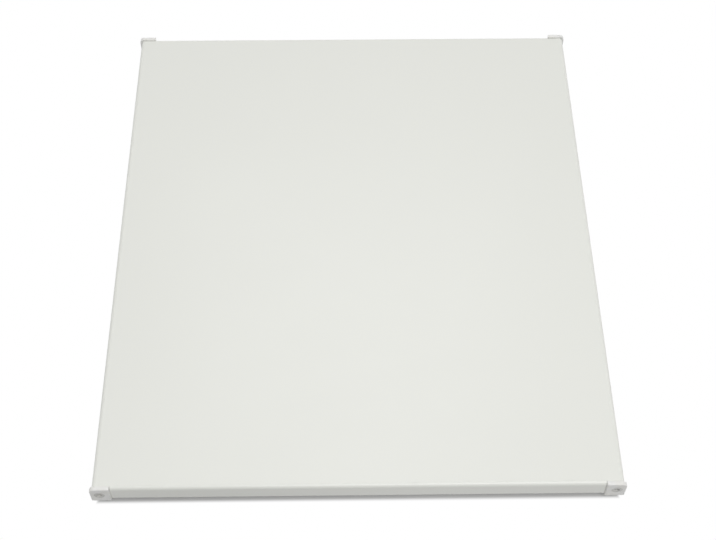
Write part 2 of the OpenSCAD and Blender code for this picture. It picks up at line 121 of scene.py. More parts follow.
class Net:
    """Adds nodes to one node tree."""

    def __init__(self, tree):
        self.tree = tree

    def node(self, kind, settings=None, inputs=None, output=0):
        """Adds a node: its settings come first, then the values or links of its sockets."""
        made = self.tree.nodes.new(kind)
        for name, value in (settings or {}).items():
            setattr(made, name, value)
        for key, value in (inputs or {}).items():
            for one in value if isinstance(value, list) else [value]:
                if isinstance(one, Wire):
                    self.tree.links.new(one.socket, made.inputs[key])
                else:
                    made.inputs[key].default_value = one
        return Wire(self, made.outputs[output]) if made.outputs else made

    def outputs(self, wire):
        """All outputs of the node that a wire comes from."""
        return {out.name: Wire(self, out) for out in wire.socket.node.outputs}

    def maths(self, operation, *values):
        return self.node("ShaderNodeMath", {"operation": operation}, dict(enumerate(values)))

    def larger(self, one, other):
        return self.maths("MAXIMUM", one, other)

    def smaller(self, one, other):
        return self.maths("MINIMUM", one, other)

    def length(self, one, other):
        """The length of a step that goes one way and then the other."""
        return (one * one + other * other) ** 0.5

    def rise(self, value, low, high):
        """Goes smoothly from 0 at low to 1 at high."""
        return self.node("ShaderNodeMapRange", {"interpolation_type": "SMOOTHSTEP"},
                         {"Value": value, "From Min": low, "From Max": high})

    def place(self):
        return self.node("ShaderNodeTexCoord", output="Object")

    def split(self, vector):
        return self.outputs(self.node("ShaderNodeSeparateXYZ", {}, {0: vector})).values()

    def join(self, x, y, z):
        return self.node("ShaderNodeCombineXYZ", {}, {0: x, 1: y, 2: z})

    def noise(self, vector, size, detail=2.0, rough=0.5):
        """Even noise from 0 to 1, whose bumps are about the given size apart."""
        return self.node("ShaderNodeTexNoise", {}, {"Vector": vector, "Scale": 1 / size,
                                                    "Detail": detail, "Roughness": rough})

    def tint(self, factor, one, other):
        """A colour that goes from one to other."""
        return self.node("ShaderNodeMix", {"data_type": "RGBA"},
                         {0: factor, 6: one, 7: other}, output=2)

    def bump(self, height, depth):
        return self.node("ShaderNodeBump", {}, {"Height": height, "Distance": depth})

    def emission(self, strength):
        return self.node("ShaderNodeEmission", {}, {"Color": WHITE, "Strength": strength})

    def either(self, share, one, other):
        """A surface that goes from one to other."""
        return self.node("ShaderNodeMixShader", {}, {0: share, 1: one, 2: other})

    def looked_at(self):
        """1 for what the camera sees straight on, in a reflection or through glass."""
        rays = self.outputs(self.node("ShaderNodeLightPath"))
        straight = self.larger(rays["Is Camera Ray"], rays["Is Glossy Ray"])
        return self.larger(straight, rays["Is Transmission Ray"])


def start_nodes(owner):
    """Empties the node tree of a material or the world, for a Net to fill."""
    owner.use_nodes = True
    owner.node_tree.nodes.clear()
    return Net(owner.node_tree)


def make_material(name, sockets_of):
    """A material of one Principled BSDF. sockets_of(net) gives the values and links it takes."""
    material = bpy.data.materials.new(name)
    net = start_nodes(material)
    surface = net.node("ShaderNodeBsdfPrincipled", {}, sockets_of(net))
    net.node("ShaderNodeOutputMaterial", {}, {"Surface": surface})
    return material


# Sizes and colours that a user would change


def colour_setting(name, description, red, green, blue):
    return FloatVectorProperty(name=name, description=description, subtype="COLOR", size=3,
                               min=0, max=1, default=linear(red, green, blue))


def length_setting(name, description, default_mm):
    return FloatProperty(name=name, description=description, unit="LENGTH", subtype="DISTANCE",
                         min=0, precision=5, default=default_mm * MM)


def share_setting(name, description, default, top=1.0):
    return FloatProperty(name=name, description=description, subtype="FACTOR",
                         min=0, max=top, default=default)


def light_setting(name, description, default):
    return share_setting(name, description, default, top=2.0)


def place_setting(name, description, x, y, z):
    return FloatVectorProperty(name=name, description=description, unit="LENGTH",
                               subtype="TRANSLATION", size=3, default=(x, y, z))


def power_setting(name, description, default):
    return FloatProperty(name=name, description=description, unit="POWER", min=0, default=default)


class PaintSettings(PropertyGroup):
    colour: colour_setting("Paint", "Colour of the painted sheet steel", 232, 233, 227)
    roughness: share_setting("Roughness", "Roughness of the semi-gloss paint", 0.36)
    peel_size: length_setting("Orange peel size", "Distance between the paint's dimples", 1.9)
    peel_depth: length_setting("Orange peel depth", "Depth of those dimples", 0.012)
    sheet_size: length_setting("Sheet wave size", "Distance between the sheet's slow waves", 170)
    sheet_depth: length_setting("Sheet wave depth", "Depth of those waves", 0.16)
    # Painted shadow along the caps' lips: its width and how dark it is.
    lip_shadow_width: length_setting("Lip shadow width", "Width of the painted shadow along a cap's lip", 1.4)
    lip_shadow_share: share_setting("Lip shadow", "How much that painted shadow darkens the paint", 0.26)


class CapSettings(PropertyGroup):
    colour: colour_setting("Cap plastic", "Colour of the corner caps and plugs", 234, 234, 232)
    bush_colour: colour_setting("Bush nylon", "Colour of the hinge bushes", 206, 206, 203)
    roughness: share_setting("Roughness", "Roughness of the moulded plastic", 0.46)
    grain_size: length_setting("Grain size", "Distance between the moulded grains", 0.45)
    grain_depth: length_setting("Grain depth", "Depth of those grains", 0.012)
    edge_radius: length_setting("Edge radius", "Rounding of the caps' and bushes' edges", 0.22)
    plug_radius: length_setting("Plug radius", "Rounding of the hole plugs' heads", 0.5)


class LinerSettings(PropertyGroup):
    colour: colour_setting("Liner plastic", "Colour of the vacuum-formed liner", 236, 236, 233)
    roughness: share_setting("Roughness", "Roughness of the formed sheet", 0.27)
    wall: length_setting("Wall", "Thickness of the formed sheet", 1.5)
    dyke_inset: length_setting("Dyke inset", "Distance from the skin's sides to the dyke", 42)
    dyke_width: length_setting("Dyke width", "Width of the dyke at its root", 34)
    dyke_draft: FloatProperty(name="Draft", description="Slope of the dyke's walls",
                              unit="ROTATION", subtype="ANGLE", default=math.radians(6))
    crest_radius: length_setting("Crest radius", "Rounding along the dyke's crest", 3.5)
    root_radius: length_setting("Root radius", "Rounding along the dyke's root", 2.5)
    corner_radius: length_setting("Corner radius", "Radius of the recess's corners", 12)
    recess_depth: length_setting("Recess depth", "Depth of the recess inside the dyke", 8)
    rib_count: IntProperty(name="Ribs", description="Number of pressed ribs",
                           min=1, max=9, default=5)
    rib_width: length_setting("Rib width", "Width of a rib", 16)
    rib_height: length_setting("Rib height", "Height of a rib", 3)
    rib_margin: length_setting("Rib margin", "Distance from a rib's end to the dyke", 42)
    rib_slope: length_setting("Rib slope", "Width of the soft slope round a rib", 5)


class SealSettings(PropertyGroup):
    colour: colour_setting("Seal vinyl", "Colour of the soft vinyl seal", 214, 214, 211)
    roughness: share_setting("Roughness", "Roughness of the vinyl", 0.55)
    rows: IntProperty(name="Rows", description="Rows of points along each side of the seal",
                      min=2, default=64)
    wave_size: length_setting("Lip wave size", "Distance between the soft lips' waves", 90)
    wave_depth: length_setting("Lip wave depth", "Depth of those waves", 0.7)
    line_size: length_setting("Extrusion line size", "Distance between the extruded lines", 0.5)
    line_depth: length_setting("Extrusion line depth", "Depth of those lines", 0.02)
    weld_width: length_setting("Weld width", "Width of the weld across each corner", 1.0)


class StageSettings(PropertyGroup):
    camera_place: place_setting("Camera place", "Where the camera stands",
                                -0.012704, -0.952555, 1.3509)
    camera_turn: FloatVectorProperty(name="Camera turn", description="How the camera is turned",
                                     unit="ROTATION", subtype="EULER", size=3,
                                     default=(0.600819, -0.003267, -0.012735))
    lens: FloatProperty(name="Lens", description="Focal length on a frame 36 mm wide",
                        unit="CAMERA", min=10, default=64.49)
    key_place: place_setting("Key light place", "Middle of the soft light before the door",
                             0.6, -1.9, 3.2)
    key_size: length_setting("Key light size", "Side of that light", 1900)
    key_power: power_setting("Key light power", "Power of that light", 60)
    top_place: place_setting("Top light place", "Middle of the soft light over the far end",
                             0.0, 0.8, 1.6)
    top_size: length_setting("Top light size", "Side of that light", 900)
    top_power: power_setting("Top light power", "Power of that light", 4.15)
    sky: light_setting("Sky", "Strength of the even light from above", 0.46)
    sides: light_setting("Sides", "Strength of the low light from the sides and behind", 1.0)
    front: light_setting("Front", "Strength of the low light from the viewer's side", 0.1)
    bounce: light_setting("Floor bounce", "Strength of the light from the floor", 0.42)
    dimming: share_setting("Dimming", "Share of that light lost before the near left corner", 0.45)
    under_light: light_setting("Under light", "Strength of the floor's light under the door", 0.8)
    shadow_tone: share_setting("Shadow tone", "Share of light that the shaded floor returns", 0.6)
    shadow_start: length_setting("Shadow start", "How far in under the door it is full dark", 4.2)
    shadow_reach: length_setting("Shadow reach", "How far out from the door it fades out", 1.2)


class DoorSettings(PropertyGroup):
    paint: PointerProperty(name="Paint", description="The skin's paint", type=PaintSettings)
    caps: PointerProperty(name="Caps", description="Caps, bushes and plugs", type=CapSettings)
    liner: PointerProperty(name="Liner", description="The formed liner", type=LinerSettings)
    seal: PointerProperty(name="Seal", description="The magnetic door seal", type=SealSettings)
    stage: PointerProperty(name="Stage", description="Floor, light, camera", type=StageSettings)


# Materials


def edge_distance(net, x, y):
    """The distance from the skin's nearest side wall or end wall."""
    return net.smaller(HALF_W - abs(x), HALF_H - abs(y))


def painted_steel(paint):
    """Semi-gloss white paint: orange peel, slow waves, faint marks, a darker band along the rear
    edge, and painted shadow along the caps' lips.
    """
    base = opaque(paint.colour)
    dark_tone = opaque(linear(176, 172, 160))
    lip_width = 2.5 * MM
    rear_band = 3 * MM

    def sockets(net):
        at = net.place()
        x, y, z = net.split(at)
        cloud = net.noise(at, size=190 * MM, detail=3.0)
        speck = net.rise(net.noise(at, size=1.1 * MM, detail=1.0), low=0.70, high=0.80)
        wipes = net.noise(net.join(x * 0.35, y, z), size=35 * MM, detail=4.0, rough=0.6)
        past_side = net.larger(CAP_INNER_X - abs(x), 0.0)
        past_end = net.larger(HALF_H - lip_width - abs(y), 0.0)
        # Painted shadow: the skin is darkened in a thin band just outside each cap's lip, where the
        # lip's shade falls.
        lip_shadow = 1 - net.rise(net.length(past_side, past_end), low=0.0, high=paint.lip_shadow_width)
        # A darker, yellower band along the skin's rear edge, broken up by noise.
        rear_edge_darkening = ((1 - net.rise(z, low=REAR_Z, high=REAR_Z + rear_band))
                     * net.noise(at, size=20 * MM, detail=3.0))
        clean = net.tint(cloud, shade(base, 0.985), shade(base, 1.01))
        marked = net.tint(speck * 0.25, clean, shade(base, 0.84))
        # The painted shadow along the caps' lips is mixed into the paint here.
        lip_shaded = net.tint(lip_shadow * paint.lip_shadow_share, marked, shade(base, 0.22))
        peel = net.noise(at, size=paint.peel_size) * (paint.peel_depth / paint.sheet_depth)
        waves = net.noise(at, size=paint.sheet_size, detail=1.0)
        return {
            "Base Color": net.tint(rear_edge_darkening * 0.5, lip_shaded, dark_tone),
            "Roughness": paint.roughness + wipes * 0.12 - 0.05,
            "Coat Weight": 0.12,
            "Coat Roughness": 0.16,
            "Normal": net.bump(peel + waves, paint.sheet_depth),
        }

    return make_material("painted_steel_finish", sockets)


def grained_plastic(name, colour, caps):
    """Moulded plastic with a fine grain and faint uneven ageing."""
    base = opaque(colour)
    aged = opaque(v * share for v, share in zip(colour, (0.985, 0.97, 0.93)))

    def sockets(net):
        at = net.place()
        patches = net.noise(at, size=12 * MM, detail=3.0)
        grain = net.noise(at, size=caps.grain_size, rough=0.6)
        dust = net.rise(net.noise(at, size=1.6 * MM), low=0.66, high=0.78)
        toned = net.tint(net.rise(patches, low=0.35, high=0.7) * 0.55, base, aged)
        return {
            "Base Color": net.tint(dust * 0.2, toned, shade(base, 0.8)),
            "Roughness": caps.roughness + patches * 0.14 - 0.07,
            "Normal": net.bump(grain, caps.grain_depth),
        }

    return make_material(name, sockets)


def formed_plastic(liner):
    """Vacuum-formed sheet: glossy, slightly wavy, a little darker where it was stretched."""
    base = opaque(liner.colour)
    dark_tone = opaque(linear(196, 190, 176))
    outer_root = liner.dyke_inset
    inner_root = liner.dyke_inset + liner.dyke_width
    ripple_depth = 0.2 * MM

    def sockets(net):
        at = net.place()
        x, y, z = net.split(at)
        inset = edge_distance(net, x, y)
        past_outer = net.rise(inset, low=outer_root - 2 * MM, high=outer_root + 1 * MM)
        past_inner = net.rise(inset, low=inner_root, high=inner_root + 4 * MM)
        stretched = (past_outer * (1 - past_inner)
                     * net.rise(z, low=0.5 * MM, high=liner.recess_depth))
        flow = net.noise(net.join(x * 0.3, y, z), size=50 * MM, detail=3.0)
        scratches = net.noise(net.join(x, y * 0.12, z), size=4 * MM, detail=3.0)
        scuff = net.rise(scratches, low=0.62, high=0.74)
        toned = net.tint(flow, shade(base, 0.985), shade(base, 1.01))
        walls = net.tint(stretched * 0.5, toned, shade(base, 0.9))
        under_seal = 1 - net.rise(inset, low=34 * MM, high=41 * MM)
        dirt = under_seal * net.noise(at, size=10 * MM, detail=3.0)
        ripples = net.noise(at, size=30 * MM) + net.noise(at, size=3.5 * MM) * 0.05
        return {
            "Base Color": net.tint(dirt * 0.25, walls, dark_tone),
            "Roughness": liner.roughness + scuff * 0.14 + flow * 0.06,
            "Coat Weight": 0.1,
            "Coat Roughness": 0.1,
            "Normal": net.bump(ripples, ripple_depth),
        }

    return make_material("formed_liner_finish", sockets)


def soft_vinyl(seal):
    """Matt vinyl: extruded lines along each side, welds across the corners, dust in its folds."""
    base = opaque(seal.colour)
    dark_tone = opaque(linear(168, 164, 154))

    def sockets(net):
        at = net.place()
        x, y, z = net.split(at)
        profile = net.join(edge_distance(net, x, y), z, 0.0)
        lines = net.noise(profile, size=seal.line_size, rough=0.7)
        off_mitre = abs((HALF_W - abs(x)) - (HALF_H - abs(y)))
        weld = 1 - net.rise(off_mitre, low=seal.weld_width * 0.5, high=seal.weld_width)
        fold = net.rise(z, low=7 * MM, high=11 * MM)
        dust = net.noise(at, size=9 * MM, detail=4.0, rough=0.6)
        clean = net.tint(dust, shade(base, 0.96), shade(base, 1.02))
        folds = net.tint(fold * dust * 0.6, clean, dark_tone)
        return {
            "Base Color": net.tint(weld * 0.5, folds, shade(base, 0.86)),
            "Roughness": seal.roughness + dust * 0.14 - weld * 0.2,
            "Sheen Weight": 0.08,
            "Normal": net.bump(lines + weld * 2.5, seal.line_depth),
        }

    return make_material("soft_vinyl_finish", sockets)


def rigid_foam(net):
    """Sockets of cream polyurethane foam with fine cells."""
    at = net.place()
    cells = net.noise(at, size=1.2 * MM, detail=3.0, rough=0.7)
    cream = linear(228, 210, 160)
    return {
        "Base Color": net.tint(net.noise(at, size=50 * MM), shade(cream, 0.9), shade(cream, 1.05)),
        "Roughness": 0.85 + cells * 0.1,
        "Normal": net.bump(cells, 0.5 * MM),
    }


def bonded_ferrite(net):
    """Sockets of dark brown magnet strip."""
    grains = net.noise(net.place(), size=0.8 * MM, detail=3.0)
    brown = linear(52, 44, 40)
    return {
        "Base Color": net.tint(grains, shade(brown, 0.8), shade(brown, 1.3)),
        "Roughness": 0.6 + grains * 0.2,
        "Normal": net.bump(grains, 0.05 * MM),
    }


def zinc_plate(net):
    """Sockets of zinc-plated sheet steel with its spangle and rolling streaks."""
    at = net.place()
    x, y, z = net.split(at)
    spangle = net.node("ShaderNodeTexVoronoi", {"feature": "F1"},
                       {"Vector": at, "Scale": 1 / (6.25 * MM)}, output="Color")
    crystals, _, _ = net.split(spangle)
    streaks = net.noise(net.join(x, y, z * 0.1), size=3 * MM, detail=3.0)
    zinc = linear(180, 183, 186)
    return {
        "Base Color": net.tint(streaks, shade(zinc, 0.85), shade(zinc, 1.08)),
        "Metallic": 1.0,
        "Roughness": crystals * 0.18 + 0.28,
        "Normal": net.bump(streaks, 0.02 * MM),
    }


def dress(nodes, material):
    """Gives a material to CAD nodes that stay as they are."""
    for name in nodes:
        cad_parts[name].material_slots[0].material = material


# Pieces


def add_object(name, data):
    made = bpy.data.objects.new(name, data)
    bpy.context.scene.collection.objects.link(made)
    return made


def declare(piece, replaced):
    """Hangs a finished piece on the root body, and hides the CAD node that it stands for."""
    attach(piece, "root")
    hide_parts(replaced)


def softened_copy(node, piece_name, material, radius):
    """A copy of a moulded CAD node whose sharp edges are rounded."""
    flat_angle, sharp_angle = math.radians(0.5), math.radians(35)
    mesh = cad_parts[node].data.copy()
    mesh.name = piece_name
    form = bmesh.new()
    form.from_mesh(mesh)
    bmesh.ops.remove_doubles(form, verts=form.verts, dist=0.002 * MM)
    bmesh.ops.dissolve_limit(form, angle_limit=flat_angle, verts=form.verts, edges=form.edges)
    sharp = [edge for edge in form.edges
             if len(edge.link_faces) == 2 and edge.calc_face_angle() > sharp_angle]
    bmesh.ops.bevel(form, geom=sharp, offset=radius, segments=3, profile=0.5, affect="EDGES",
                    clamp_overlap=True)
    bmesh.ops.remove_doubles(form, verts=form.verts, dist=0.001 * MM)
    form.to_mesh(mesh)
    form.free()
    mesh.materials.clear()
    mesh.materials.append(material)
    if "custom_normal" in mesh.attributes:
        mesh.attributes.remove(mesh.attributes["custom_normal"])
    mesh.polygons.foreach_set("use_smooth", [True] * len(mesh.polygons))
    mesh.set_sharp_from_angle(angle=sharp_angle)
    mesh.update()
    declare(add_object(piece_name, mesh), node)


def filleted(corners, closed=False, steps=5):
    """Points along a polyline, in millimetres, whose corners (inset, z, radius) are rounded."""
    made = []
    count = len(corners)
    for k, (inset, z, radius) in enumerate(corners):
        corner = np.array([inset, z], float)
        if radius <= 0 or (not closed and k in (0, count - 1)):
            made.append(corner)
            continue
        before = np.array(corners[k - 1][:2], float) - corner
        after = np.array(corners[(k + 1) % count][:2], float) - corner
        before /= np.linalg.norm(before)
        after /= np.linalg.norm(after)
        half = math.acos(np.clip(before @ after, -1, 1)) / 2
        middle = before + after
        centre = corner + middle / np.linalg.norm(middle) * radius / math.sin(half)
        start = corner + before * radius / math.tan(half) - centre
        end = corner + after * radius / math.tan(half) - centre
        turn = math.pi - 2 * half
        for share in (step / steps for step in range(steps + 1)):
            spread = math.sin((1 - share) * turn) * start + math.sin(share * turn) * end
            made.append(centre + spread / math.sin(turn))
    return made


def add_tree(name, inputs):
    """A Geometry Nodes tree with named inputs, and the Wires that read them."""
    tree = bpy.data.node_groups.new(name, "GeometryNodeTree")
    tree.interface.new_socket("Geometry", in_out="INPUT", socket_type="NodeSocketGeometry")
    for label, kind, value in inputs:
        item = tree.interface.new_socket(label, in_out="INPUT", socket_type=f"NodeSocket{kind}")
        if value is not None:
            item.default_value = value
    tree.interface.new_socket("Geometry", in_out="OUTPUT", socket_type="NodeSocketGeometry")
    net = Net(tree)
    entry = tree.nodes.new("NodeGroupInput")
    return net, {out.name: Wire(net, out) for out in entry.outputs if out.name}


def close_tree(net, geometry, material, degrees):
    """Ends a tree: smooth faces with sharp edges past an angle, plain geometry, its material."""
    angle = net.node("GeometryNodeInputMeshEdgeAngle")
    sharp = net.node("FunctionNodeCompare", {"operation": "GREATER_THAN"},
                     {0: angle, 1: math.radians(degrees)})
    smooth = net.node("GeometryNodeSetShadeSmooth", {"domain": "FACE"},
                      {"Geometry": geometry, "Shade Smooth": True})
    edged = net.node("GeometryNodeSetShadeSmooth", {"domain": "EDGE"},
                     {"Geometry": smooth, "Selection": sharp, "Shade Smooth": False})
    plain = net.node("GeometryNodeRealizeInstances", {}, {"Geometry": edged})
    finished = net.node("GeometryNodeSetMaterial", {}, {"Geometry": plain, "Material": material})
    net.node("NodeGroupOutput", {}, {0: finished})
    return net.tree


def apply_tree(piece, tree, values):
    """Runs a tree on a piece as a modifier, and keeps its result as the piece's own mesh."""
    modifier = piece.modifiers.new(tree.name, "NODES")
    modifier.node_group = tree
    for item in tree.interface.items_tree:
        if item.in_out == "INPUT" and item.name in values:
            modifier[item.identifier] = values[item.name]
    bpy.context.view_layer.update()
    graph = bpy.context.evaluated_depsgraph_get()
    mesh = bpy.data.meshes.new_from_object(piece.evaluated_get(graph))
    piece.modifiers.clear()
    raw, piece.data = piece.data, mesh
    bpy.data.meshes.remove(raw)
    mesh.name = piece.name
    mesh.materials.clear()
    mesh.materials.append(values["Material"])
    mesh.polygons.foreach_set("material_index", [0] * len(mesh.polygons))


# The liner


def ring(form, inset, z, radius, steps=14):
    """One loop round the door at an inset from the skin's sides, with rounded corners."""
    made = []
    for side, end, start in ((1, -1, -90), (1, 1, 0), (-1, 1, 90), (-1, -1, 180)):
        x = side * (HALF_W - inset - radius)
        y = end * (HALF_H - inset - radius)
        for step in range(steps + 1):
            turn = math.radians(start + 90 * step / steps)
            made.append(form.verts.new((x + radius * math.cos(turn),
                                        y + radius * math.sin(turn), z)))
    return made


def add_quad(form, corners, flip):
    form.faces.new(corners[::-1] if flip else corners)


def join_rings(form, one, other, flip):
    for k in range(len(one)):
        n = (k + 1) % len(one)
        add_quad(form, [one[k], one[n], other[n], other[k]], flip)


def grid_lines(half, middles, reach, fine, coarse):
    """Grid lines from -half to half: fine round the given middles, coarse between them."""
    lines = {-half, half}
    lines.update(np.arange(-half, half, coarse))
    for middle in middles:
        lines = {v for v in lines if abs(v - middle) > reach + fine}
        lines.update(np.linspace(middle - reach, middle + reach, int(2 * reach / fine) + 1))
    lines.update({-half, half})
    return sorted(v for v in lines if -half <= v <= half)


def panel_grid(form, boundary, z, xs, ys, flip):
    """Fills a loop with a rectangular grid and a strip of triangles round it."""
    grid = [[form.verts.new((x, y, z)) for x in xs] for y in ys]
    for one, other in zip(grid, grid[1:]):
        for k in range(len(xs) - 1):
            add_quad(form, [one[k], one[k + 1], other[k + 1], other[k]], flip)
    rim = (grid[0] + [row[-1] for row in grid[1:]] + grid[-1][-2::-1]
           + [row[0] for row in grid[-2:0:-1]])
    edges = []
    for loop in (rim, boundary):
        for pair in zip(loop, loop[1:] + loop[:1]):
            edges.append(form.edges.get(pair) or form.edges.new(pair))
    made = bmesh.ops.triangle_fill(form, use_beauty=True, edges=edges,
                                   normal=(0, 0, -1 if flip else 1))
    faces = [item for item in made["geom"] if isinstance(item, bmesh.types.BMFace)]
    bmesh.ops.triangulate(form, faces=faces)


def liner_section(liner):
    """The formed sheet's section, in millimetres: its seen side and its foam side, as
    (inset, z, corner radius) of each ring. The rim and the seal's groove have nearly square
    corners, and those of the dyke and the recess are round about one middle."""
    wall, recess = liner.wall / MM, liner.recess_depth / MM
    skin_sheet, rim, rim_end, dyke_start, recess_edge = 0.6, 2.1, 33.0, 36.0, 4.0
    rear = REAR_Z / MM + skin_sheet
    groove_middle, mouth_half, groove_half, groove_depth = 27.0, 2.5, 3.5, 7.0
    square_corner, least_corner = 0.3, 0.5
    outer = liner.dyke_inset / MM
    inner = (liner.dyke_inset + liner.dyke_width) / MM
    corner_middle = inner + liner.corner_radius / MM
    crest, root = liner.crest_radius / MM, liner.root_radius / MM
    slope = math.tan(liner.dyke_draft)
    lip, bottom = rear + wall, rear + wall + groove_depth

    def square(points):
        return [(inset, z, square_corner) for inset, z in points]

    def channel(half, depth):
        """Up one side of the groove, across its bottom and down its other side."""
        one, other = groove_middle - half, groove_middle + half
        return [(one, lip), (one, depth), (other, depth), (other, lip)]

    def dyke(offset):
        """The dyke and the recess's edge, at an offset from the seen side."""
        sideways = offset / math.cos(liner.dyke_draft)
        top, low = rear + offset, recess + offset

        def left(z):
            return outer + (rear - z) * slope + sideways

        def right(z):
            return inner - (rear - z) * slope - sideways

        corners = [(dyke_start, top, 0), (left(top), top, root + offset),
                   (left(offset), offset, crest - offset), (right(offset), offset, crest - offset),
                   (right(low), low, root + offset), (inner + recess_edge, low, 0)]
        return [(inset, z, max(corner_middle - inset, least_corner))
                for inset, z in filleted(corners)]

    seen = [(rim, rear), (groove_middle - mouth_half, rear), (groove_middle - mouth_half, lip),
            *channel(groove_half, bottom),
            (groove_middle + mouth_half, lip), (groove_middle + mouth_half, rear), (rim_end, rear)]
    foam = [(rim, lip), *channel(groove_half + wall, bottom + wall), (rim_end, lip)]
    return square(seen) + dyke(0.0), square(foam) + dyke(wall)


def recess_half(liner, half):
    """Half of the recess's width or height inside the dyke, from that of the door."""
    return half - liner.dyke_inset - liner.dyke_width


def rib_half_length(liner):
    return recess_half(liner, HALF_W) - liner.rib_margin


def rib_pitch(liner):
    return 2 * recess_half(liner, HALF_H) / (liner.rib_count + 1)


def liner_sheet(liner):
    """The formed sheet before its ribs are pressed: one closed shell."""
    edge_strip = 8 * MM
    pitch, rib_half_width = rib_pitch(liner), liner.rib_width / 2
    rows = [(k + 1) * pitch - recess_half(liner, HALF_H) for k in range(liner.rib_count)]
    round_end = rib_half_length(liner) - rib_half_width / 2
    xs = grid_lines(recess_half(liner, HALF_W) - edge_strip, [-round_end, round_end],
                    rib_half_width / 2 + liner.rib_slope, fine=0.9 * MM, coarse=24 * MM)
    ys = grid_lines(recess_half(liner, HALF_H) - edge_strip, rows,
                    rib_half_width + liner.rib_slope, fine=0.8 * MM, coarse=12 * MM)
    form = bmesh.new()
    rims = []
    for section, flip in zip(liner_section(liner), (True, False)):
        rings = [ring(form, inset * MM, z * MM, radius * MM) for inset, z, radius in section]
        for one, other in zip(rings, rings[1:]):
            join_rings(form, one, other, flip)
        panel_grid(form, rings[-1], section[-1][1] * MM, xs, ys, flip)
        rims.append(rings[0])
    join_rings(form, *rims, flip=False)
    mesh = bpy.data.meshes.new("formed_liner_sheet")
    form.to_mesh(mesh)
    form.free()
    return mesh


def pressed_ribs_tree():
    """Presses a row of ribs with soft slopes and round ends into a flat panel."""
    net, given = add_tree("Pressed ribs", [
        ("Ribs", "Int", 5), ("Pitch", "Float", 0.1), ("Rib half length", "Float", 0.18),
        ("Rib width", "Float", 0.016), ("Rib height", "Float", 0.003),
        ("Slope", "Float", 0.005), ("Material", "Material", None)])
    x, y, _ = net.split(net.node("GeometryNodeInputPosition"))
    last = (given["Ribs"] - 1) * 0.5
    nearest = net.maths("ROUND", y / given["Pitch"] + last) - last
    row = net.larger(net.smaller(nearest, last), -last)
    off_row = y - row * given["Pitch"]
    edge = given["Rib width"] * 0.5
    past_end = net.larger(abs(x) - (given["Rib half length"] - edge), 0.0)
    off = net.length(past_end, off_row)
    half_slope = given["Slope"] * 0.5
    share = net.rise(off, low=edge + half_slope, high=edge - half_slope)
    lift = net.join(0.0, 0.0, -(share * given["Rib height"]))
    pressed = net.node("GeometryNodeSetPosition", {},
                       {"Geometry": given["Geometry"], "Offset": lift})
    return close_tree(net, pressed, given["Material"], degrees=50)


# The seal


def seal_outlines():
    """The seal's section, in millimetres: its outline, its hollow bellows and its magnet pocket.
    The outline's corners (inset, z, radius) go round by the lip over the flange, the bellows, the
    sealing face, the lip on the dyke's side and the barbed dart."""
    outline = [
        (10.2, 13.9, 0.4), (6.5, 10.95, 0.3), (6.5, 10.15, 0.3), (10.6, 12.4, 0.6),
        (13.0, 12.4, 0.5), (11.8, 9.8, 1.4), (13.0, 7.3, 0.4), (13.0, 2.0, 1.0),
        (25.2, 2.0, 0.8), (25.2, 3.6, 0.5), (30.7, 5.6, 0.3), (30.7, 6.4, 0.3),
        (25.2, 7.1, 0.4), (26.4, 9.8, 1.4), (25.2, 12.4, 0.5), (36.0, 12.4, 0.5),
        (36.0, 13.9, 0.5), (28.3, 13.9, 0.3), (28.3, 16.2, 0.2), (30.2, 16.2, 0.2),
        (28.3, 19.2, 0.2), (30.2, 19.2, 0.2), (28.3, 22.2, 0.4), (25.7, 22.2, 0.4),
        (23.8, 19.2, 0.2), (25.7, 19.2, 0.2), (23.8, 16.2, 0.2), (25.7, 16.2, 0.2),
        (25.7, 13.9, 0.3),
    ]
    bellows = [(13.9, 12.3, 0.3), (24.3, 12.3, 0.3), (25.5, 9.8, 1.0), (24.3, 7.3, 0.3),
               (13.9, 7.3, 0.3), (12.7, 9.8, 1.0)]
    pocket = [(14.2, 6.0, 0.15), (24.0, 6.0, 0.15), (24.0, 3.2, 0.15), (14.2, 3.2, 0.15)]
    return [filleted(corners, closed=True, steps=4) for corners in (outline, bellows, pocket)]


def seal_section_mesh():
    """The seal's section as closed rows of edges in the XZ plane."""
    points, edges = [], []
    for loop in seal_outlines():
        first = len(points)
        points += [(inset * MM, 0.0, z * MM) for inset, z in loop]
        edges += [(first + k, first + (k + 1) % len(loop)) for k in range(len(loop))]
    mesh = bpy.data.meshes.new("door_seal_section")
    mesh.from_pydata(points, edges, [])
    return mesh


def stored(net, geometry, name, value, kind):
    """Writes a value on a geometry's points, and gives the geometry and the value read back."""
    kept = net.node("GeometryNodeStoreNamedAttribute", {"data_type": kind, "domain": "POINT"},
                    {"Geometry": geometry, "Name": name, "Value": net.node(value)})
    return kept, net.node("GeometryNodeInputNamedAttribute", {"data_type": kind}, {"Name": name})


